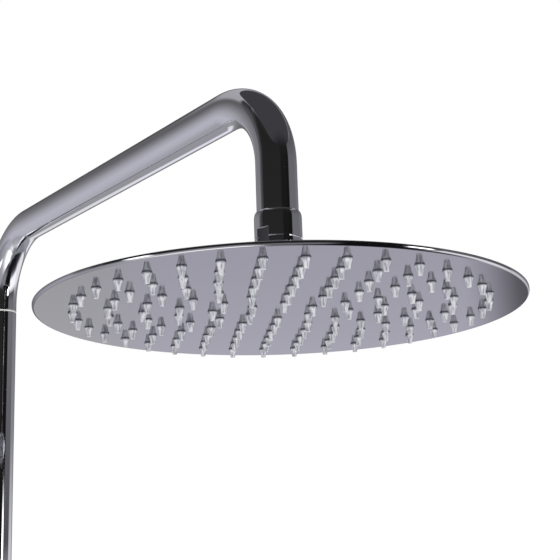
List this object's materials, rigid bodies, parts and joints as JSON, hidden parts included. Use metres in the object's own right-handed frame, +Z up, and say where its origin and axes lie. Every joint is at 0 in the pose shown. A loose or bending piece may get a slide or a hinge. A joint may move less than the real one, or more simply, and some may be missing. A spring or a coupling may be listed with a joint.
{
  "type": "shower column",
  "caption": "Wall-mounted riser pipe with a bent overhead arm that swings and a thin round rain head with rows of soft nozzles on a ball joint.",
  "frame": {"origin": "on the riser's axis at the seat of the inlet washer, inside the union nut at the riser's foot", "axes": "+Z up along the riser, +Y towards the wall, the arm points towards -Y at rest, +X to the right when looking at the wall"},
  "size_m": [0.25, 0.523, 0.97],
  "materials": {
    "chrome": "polished chrome plate",
    "mirror_steel": "mirror-polished stainless sheet",
    "brass": "machined brass",
    "stainless": "machined stainless steel",
    "silicone": "translucent light grey silicone",
    "black_rubber": "black sealing rubber",
    "white_plastic": "white low-friction plastic"
  },
  "bodies": {
    "riser": {"riser_tube": "chrome", "inlet_spigot": "brass", "union_washer": "black_rubber", "union_nut": "chrome", "riser_bushing": "brass", "tail_seals": "black_rubber", "glide_ring": "white_plastic", "stop_screw": "stainless", "bracket_base": "brass", "wall_rose": "chrome", "bracket_body": "chrome", "clamp_liner": "white_plastic", "clamp_screw": "stainless", "stem_screw": "stainless"},
    "arm": {"arm_tail": "brass", "arm_tube": "chrome", "drop_spigot": "brass", "swivel_nut": "chrome", "nut_washer": "black_rubber", "inlet_filter": "stainless", "ball_stud": "brass", "flow_regulator": "white_plastic"},
    "tilt_seat": {"lower_seat": "white_plastic"},
    "cross_seat": {"upper_seat": "white_plastic"},
    "head": {"head_boss": "chrome", "cap_seal": "black_rubber", "retaining_cap": "chrome", "boss_gasket": "black_rubber", "backing_ring": "stainless", "boss_screws": "stainless", "top_cover": "mirror_steel", "face_plate": "mirror_steel", "nozzle_mat": "silicone", "rim_seal": "silicone", "spacer_posts": "stainless"}
  },
  "joints": [
    {"name": "arm_swing", "type": "hinge", "parent": "riser", "child": "arm", "pos_m": [0, 0, 0.894], "axis": [0, 0, 1], "range_deg": [-75, 75]},
    {"name": "head_tilt", "type": "hinge", "parent": "arm", "child": "tilt_seat", "pos_m": [0, -0.346, 0.848], "axis": [1, 0, 0], "range_deg": [-15, 15]},
    {"name": "head_lean", "type": "hinge", "parent": "tilt_seat", "child": "cross_seat", "pos_m": [0, -0.346, 0.848], "axis": [0, 1, 0], "range_deg": [-15, 15]},
    {"name": "head_spin", "type": "hinge", "parent": "cross_seat", "child": "head", "pos_m": [0, -0.346, 0.848], "axis": [0, 0, 1], "continuous": true}
  ]
}
